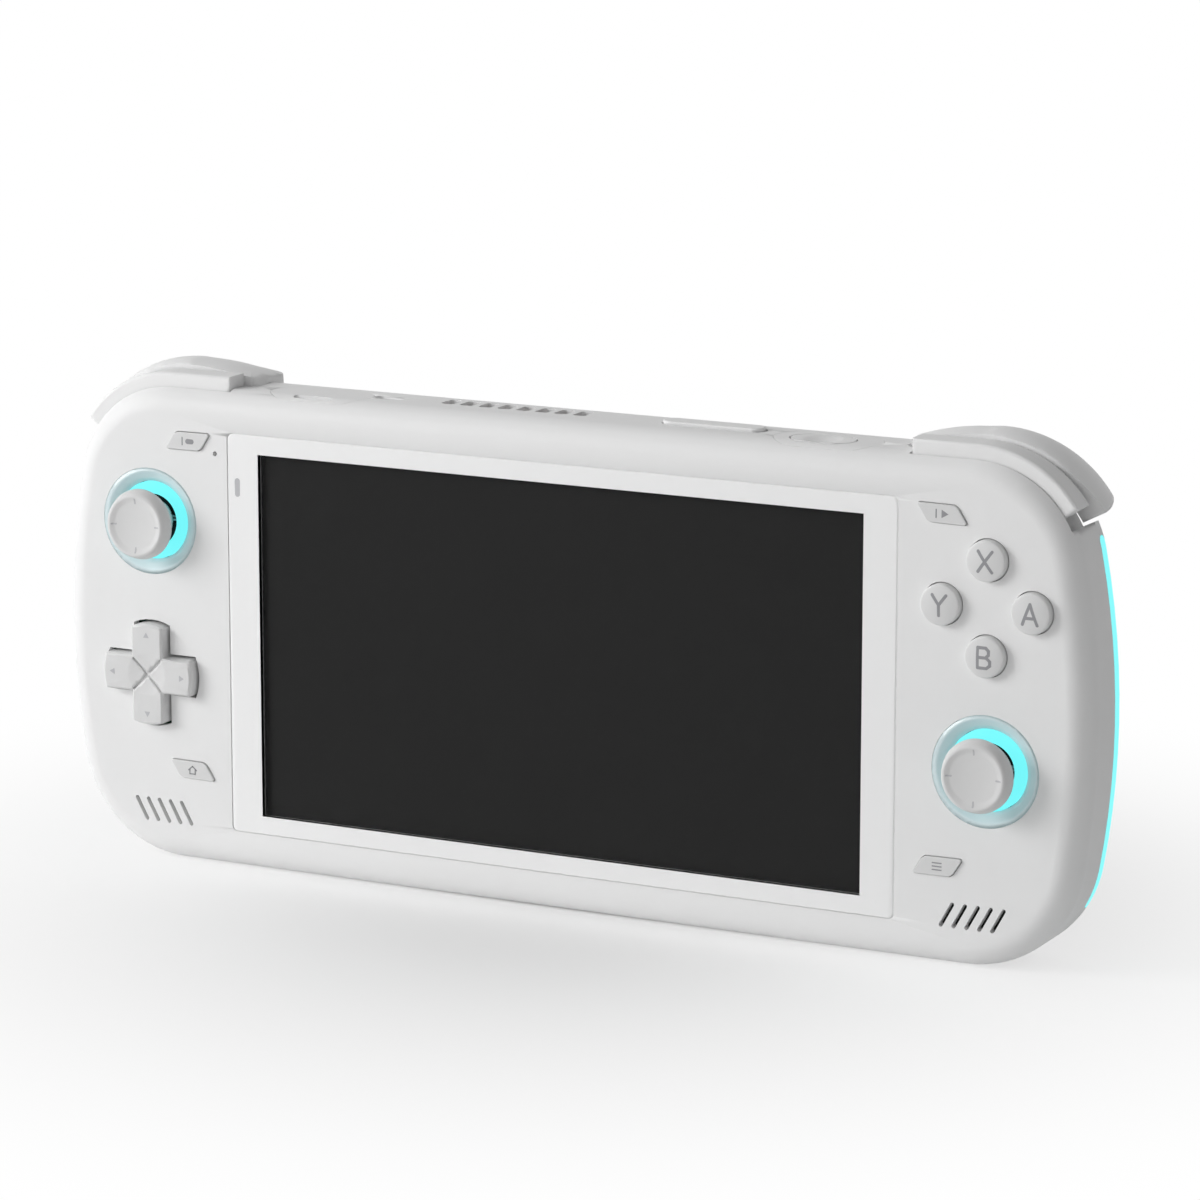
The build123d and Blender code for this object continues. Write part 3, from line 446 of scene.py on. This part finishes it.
@dataclass
class Screen:
    """The cover glass, the white frame below it and the dark panel."""

    sensor_drop: float = 10.9 * MM
    sensor_width: float = 1.2 * MM
    sensor_length: float = 3.8 * MM
    sensor_setback: float = 2.3 * MM
    border_side: float = 7.1 * MM
    border_end: float = 3.85 * MM
    window_rise: float = 0.02 * MM

    def build(self) -> None:
        """Dress the screen's layers and print the light sensor's window."""
        self.cover()
        dress("bezel_frame", BEZEL_INK)
        dress("display_panel", DARK_SCREEN)
        dress("mid_frame", ALLOY)
        low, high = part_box("cover_glass")
        x = low[0] + self.sensor_setback
        start = high[2] - self.sensor_drop + self.sensor_length / 2 - self.sensor_width / 2
        reach = self.sensor_length - self.sensor_width
        bm = bmesh.new()
        bar(bm, (x, start), (x, start - reach), self.sensor_width)
        print_on(bm, "cover_glass", "sensor_window", PALE_INK, rise=self.window_rise)

    def cover(self) -> None:
        """Cut the cover glass at the window's edges, with its white border printed through."""
        glass = dress("cover_glass", SCREEN_GLASS)
        glass.data.materials.append(BEZEL_INK.build())
        low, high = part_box("cover_glass")
        left, right = low[0] + self.border_side, high[0] - self.border_side
        bottom, top = low[2] + self.border_end, high[2] - self.border_end
        bm = bmesh.new()
        bm.from_mesh(glass.data)
        for place, way in (
            ((left, 0, 0), (1, 0, 0)),
            ((right, 0, 0), (1, 0, 0)),
            ((0, 0, bottom), (0, 0, 1)),
            ((0, 0, top), (0, 0, 1)),
        ):
            geometry = bm.verts[:] + bm.edges[:] + bm.faces[:]
            bmesh.ops.bisect_plane(bm, geom=geometry, plane_co=place, plane_no=way, dist=WELD)
        for face in bm.faces:
            middle = face.calc_center_median()
            clear = left < middle.x < right and bottom < middle.z < top
            face.material_index = 0 if clear else 1
        bm.to_mesh(glass.data)
        bm.free()


@dataclass
class Stick:
    """One thumb stick: lens, lit ring, neck, cap with its bright rim and four marks."""

    side: Side
    tick_reach: float = 4.6 * MM
    tick_length: float = 0.9 * MM
    tick_width: float = 0.35 * MM

    def node(self, part: str) -> str:
        """The CAD node's full name."""
        return f"{self.side.value}_{part}"

    def build(self) -> None:
        """Dress the stick and mark its cap."""
        dress(self.node("ring_lens"), RING_LENS, crease=35)
        dress(self.node("light_ring"), LIT_RING)
        dress(self.node("stick_shaft"), WHITE_BUTTON, crease=35)
        dress(self.node("stick_cap"), SOFT_CAP, crease=50)
        for part in ("stick_cradle", "stick_module"):
            dress(self.node(part), INNER_BLACK)
        dress(self.node("stick_cross_pin"), STEEL)
        cap = self.node("stick_cap")
        centre = middle_of(cap)
        bm = bmesh.new()
        for turn in range(4):
            way = Vector((math.cos(turn * math.pi / 2), math.sin(turn * math.pi / 2)))
            start = Vector((centre.x, centre.z)) + way * self.tick_reach
            bar(bm, tuple(start), tuple(start + way * self.tick_length), self.tick_width)
        print_on(bm, cap, self.node("stick_marks"), PALE_INK)


# Ends of each stroke, as shares of the mark's height from its middle
LETTERS: dict[str, Strokes] = {
    "a": (((-0.38, -0.5), (0, 0.5)), ((0, 0.5), (0.38, -0.5)), ((-0.24, -0.18), (0.24, -0.18))),
    "b": (
        ((-0.3, -0.5), (-0.3, 0.5)),
        ((-0.3, 0.5), (0.12, 0.5)),
        ((0.12, 0.5), (0.27, 0.36)),
        ((0.27, 0.36), (0.27, 0.16)),
        ((0.27, 0.16), (0.12, 0.02)),
        ((-0.3, 0.02), (0.16, 0.02)),
        ((0.16, 0.02), (0.34, -0.14)),
        ((0.34, -0.14), (0.34, -0.36)),
        ((0.34, -0.36), (0.16, -0.5)),
        ((-0.3, -0.5), (0.16, -0.5)),
    ),
    "x": (((-0.36, -0.5), (0.36, 0.5)), ((-0.36, 0.5), (0.36, -0.5))),
    "y": (((-0.36, 0.5), (0, 0.02)), ((0.36, 0.5), (0, 0.02)), ((0, 0.02), (0, -0.5))),
}
SIGNS: dict[str, Strokes] = {
    "select": (((-0.75, -0.5), (-0.75, 0.5)), ((0.1, 0), (0.7, 0))),
    "start": (((-0.75, -0.5), (-0.75, 0.5)),),
    "home": (
        ((-0.62, 0.02), (0, 0.55)),
        ((0, 0.55), (0.62, 0.02)),
        ((-0.42, 0.1), (-0.42, -0.5)),
        ((-0.42, -0.5), (0.42, -0.5)),
        ((0.42, -0.5), (0.42, 0.1)),
    ),
    "menu": (((-0.6, 0.45), (0.6, 0.45)), ((-0.6, 0), (0.6, 0)), ((-0.6, -0.45), (0.6, -0.45))),
}


@dataclass
class Buttons:
    """Round buttons with letters, small slanted ones with signs, and the direction pad with arrows."""

    letter_height: float = 3.9 * MM
    letter_stroke: float = 0.62 * MM
    sign_height: float = 1.5 * MM
    sign_stroke: float = 0.26 * MM
    block_share: float = 0.7
    play_shift_share: float = 0.3
    play_radius_share: float = 0.62
    arrow_radius: float = 0.75 * MM
    arrow_reach: float = 8.1 * MM

    def build(self) -> None:
        """Dress and mark every button."""
        for letter, strokes in LETTERS.items():
            node = f"{letter}_button"
            dress(node, WHITE_BUTTON, crease=40)
            self.mark(node, strokes, self.letter_height, self.letter_stroke, f"letter_{letter}")
        for name, strokes in SIGNS.items():
            node = f"{name}_button"
            dress(node, WHITE_BUTTON, crease=30)
            self.mark(node, strokes, self.sign_height, self.sign_stroke, f"sign_{name}")
        dress("direction_pad", WHITE_BUTTON, crease=20)
        dress("pad_pivot", INNER_BLACK)
        self.arrows()

    def mark(self, node: str, strokes: Strokes, height: float, stroke: float, name: str) -> None:
        """Print strokes in the middle of a button.

        Args:
            node: The button.
            strokes: Pairs of ends, as shares of the mark's height.
            height: The mark's height.
            stroke: The stroke's width.
            name: The new piece's name.
        """
        centre = middle_of(node)
        bm = bmesh.new()
        for start, end in strokes:
            ends = [(centre.x + across * height, centre.z + up * height) for across, up in (start, end)]
            block = node == "select_button" and start[0] > 0
            bar(bm, ends[0], ends[1], height * self.block_share if block else stroke)
        if node == "start_button":
            middle = (centre.x + self.play_shift_share * height, centre.z)
            triangle(bm, middle, self.play_radius_share * height, 0)
        print_on(bm, node, name, GREY_INK)

    def arrows(self) -> None:
        """Print the four small arrows on the direction pad."""
        centre = middle_of("direction_pad")
        bm = bmesh.new()
        for turn in range(4):
            heading = 90 * turn
            way = Vector((math.cos(math.radians(heading)), math.sin(math.radians(heading))))
            spot = Vector((centre.x, centre.z)) + way * self.arrow_reach
            triangle(bm, tuple(spot), self.arrow_radius, heading)
        print_on(bm, "direction_pad", "pad_arrows", PALE_INK)


@dataclass
class Shoulders:
    """Bumpers, triggers and their pins."""

    def build(self) -> None:
        """Dress both shoulders."""
        for side in Side:
            dress(f"{side.value}_bumper", WHITE_SHELL, crease=25)
            dress(f"{side.value}_trigger", WHITE_TRIGGER, crease=35)
            dress(f"{side.value}_shoulder_pins", STEEL)


@dataclass
class TopEdge:
    """Card door, power panel and button, and volume rocker."""

    pieces: tuple[str, ...] = ("card_door", "power_panel", "power_button", "volume_rocker")

    def build(self) -> None:
        """Dress the pieces of the top edge."""
        for piece in self.pieces:
            dress(piece, WHITE_SHELL, crease=25)


@dataclass
class Inside:
    """What the body holds, seen only through its slots."""

    finishes: dict[str, Finish] = field(
        default_factory=lambda: {
            "main_board": CIRCUIT,
            "left_control_board": CIRCUIT,
            "right_control_board": CIRCUIT,
            "face_button_membrane": SILICONE,
            "pad_membrane": SILICONE,
            "shield_can": ALLOY,
            "card_socket": ALLOY,
            "charging_port": STEEL,
            "headphone_jack": INNER_BLACK,
            "battery": WRAP,
            "left_speaker": INNER_BLACK,
            "right_speaker": INNER_BLACK,
            "fan_housing": INNER_BLACK,
            "fan_rotor": INNER_BLACK,
            "heat_sink": COPPER,
        }
    )

    def build(self) -> None:
        """Dress the inner pieces."""
        for node, finish in self.finishes.items():
            dress(node, finish)


@dataclass(frozen=True)
class Lamp:
    """A soft square lamp that faces the console."""

    name: str
    place: tuple[float, float, float]
    size: float
    power: float
    aim_height: float = 50 * MM

    def build(self) -> None:
        """Hang the lamp and turn it to the console."""
        data = bpy.data.lights.new(self.name, "AREA")
        data.shape = "SQUARE"
        data.size = self.size
        data.energy = self.power
        lamp = bpy.data.objects.new(self.name, data)
        bpy.context.scene.collection.objects.link(lamp)
        lamp.location = self.place
        aim = Vector((0, 0, self.aim_height)) - Vector(self.place)
        lamp.rotation_euler = aim.to_track_quat("-Z", "Y").to_euler()


@dataclass
class Studio:
    """Floor, lamps, world and the camera of the photograph."""

    image_side: float = 1200.0
    focal_pixels: float = 5127.918
    sensor: float = 36.0
    distance: float = 997.4 * MM
    azimuth: float = 26.966
    elevation: float = 12.1966
    target: tuple[float, float, float] = (10.559 * MM, -8.5 * MM, 64.39 * MM)
    floor_side: float = 14.0
    near_white: float = -0.08
    far_white: float = 0.21
    floor_tone: tuple[float, float, float] = (250, 250, 250)
    floor_roughness: float = 0.9
    floor_specular: float = 0.1
    soft_level: float = 0.29
    clip: tuple[float, float] = (0.01, 60.0)
    lamps: tuple[Lamp, ...] = (
        Lamp("key", (-1.15, -0.8, 0.6), size=0.7, power=13.5),
        Lamp("fill", (-0.5, -1.5, 0.3), size=1.2, power=2.4),
        Lamp("top", (0.0, 0.2, 1.4), size=0.9, power=1.0),
    )

    def build(self) -> None:
        """Make the studio."""
        self.camera()
        self.floor()
        self.world()
        for lamp in self.lamps:
            lamp.build()
        bpy.context.scene.view_settings.view_transform = "Standard"

    def camera(self) -> None:
        """Place the camera as fitted to the photograph."""
        azimuth, elevation = math.radians(self.azimuth), math.radians(self.elevation)
        back = Vector(
            (
                math.sin(azimuth) * math.cos(elevation),
                -math.cos(azimuth) * math.cos(elevation),
                math.sin(elevation),
            )
        )
        data = bpy.data.cameras.new("camera")
        data.sensor_width = self.sensor
        data.lens = self.focal_pixels * self.sensor / self.image_side
        data.clip_start, data.clip_end = self.clip
        camera = bpy.data.objects.new("camera", data)
        bpy.context.scene.collection.objects.link(camera)
        camera.location = Vector(self.target) + back * self.distance
        camera.rotation_euler = (-back).to_track_quat("-Z", "Y").to_euler()
        bpy.context.scene.camera = camera

    def floor(self) -> None:
        """A pale floor that turns plain white away from the object."""
        bm = bmesh.new()
        bmesh.ops.create_grid(bm, x_segments=1, y_segments=1, size=self.floor_side / 2)
        floor = object_from(bm, "floor")
        material = bpy.data.materials.new("floor")
        material.use_nodes = True
        nodes, links = material.node_tree.nodes, material.node_tree.links
        shader = nodes["Principled BSDF"]
        shader.inputs["Base Color"].default_value = linear(*self.floor_tone)
        shader.inputs["Roughness"].default_value = self.floor_roughness
        shader.inputs["Specular IOR Level"].default_value = self.floor_specular
        white = nodes.new("ShaderNodeEmission")
        place = nodes.new("ShaderNodeTexCoord")
        length = nodes.new("ShaderNodeVectorMath")
        length.operation = "LENGTH"
        fade = nodes.new("ShaderNodeMapRange")
        fade.interpolation_type = "SMOOTHSTEP"
        fade.inputs["From Min"].default_value = self.near_white
        fade.inputs["From Max"].default_value = self.far_white
        seen = self.seen(nodes, links)
        both = nodes.new("ShaderNodeMath")
        both.operation = "MULTIPLY"
        mix = nodes.new("ShaderNodeMixShader")
        links.new(place.outputs["Object"], length.inputs[0])
        links.new(length.outputs["Value"], fade.inputs["Value"])
        links.new(fade.outputs["Result"], both.inputs[0])
        links.new(seen, both.inputs[1])
        links.new(both.outputs["Value"], mix.inputs["Fac"])
        links.new(shader.outputs["BSDF"], mix.inputs[1])
        links.new(white.outputs["Emission"], mix.inputs[2])
        links.new(mix.outputs["Shader"], nodes["Material Output"].inputs["Surface"])
        floor.data.materials.append(material)

    def seen(self, nodes: bpy.types.Nodes, links: bpy.types.NodeLinks) -> bpy.types.NodeSocket:
        """The socket that is 1 for what the camera, mirrors and glass see.

        Args:
            nodes: The tree's nodes.
            links: The tree's links.

        Returns:
            The output socket.
        """
        path = nodes.new("ShaderNodeLightPath")
        total = path.outputs["Is Camera Ray"]
        for name in ("Is Glossy Ray", "Is Transmission Ray"):
            both = nodes.new("ShaderNodeMath")
            both.operation = "MAXIMUM"
            links.new(total, both.inputs[0])
            links.new(path.outputs[name], both.inputs[1])
            total = both.outputs["Value"]
        return total

    def world(self) -> None:
        """White to the eye, and a plain soft level as light."""
        world = bpy.data.worlds.new("world")
        world.use_nodes = True
        bpy.context.scene.world = world
        nodes, links = world.node_tree.nodes, world.node_tree.links
        soft = nodes["Background"]
        soft.inputs["Color"].default_value = (1, 1, 1, 1)
        soft.inputs["Strength"].default_value = self.soft_level
        plain = nodes.new("ShaderNodeBackground")
        plain.inputs["Color"].default_value = (1, 1, 1, 1)
        mix = nodes.new("ShaderNodeMixShader")
        links.new(self.seen(nodes, links), mix.inputs["Fac"])
        links.new(soft.outputs["Background"], mix.inputs[1])
        links.new(plain.outputs["Background"], mix.inputs[2])
        links.new(mix.outputs["Shader"], nodes["World Output"].inputs["Surface"])


def main() -> None:
    """Build the console's looks, part by part, and the studio round it."""
    logging.basicConfig(level=logging.INFO, format="%(message)s")
    assemblies = (
        Housing(),
        Screen(),
        Stick(Side.LEFT),
        Stick(Side.RIGHT),
        Buttons(),
        Shoulders(),
        TopEdge(),
        Inside(),
        Studio(),
    )
    for assembly in assemblies:
        assembly.build()


if __name__ == "__main__":
    main()
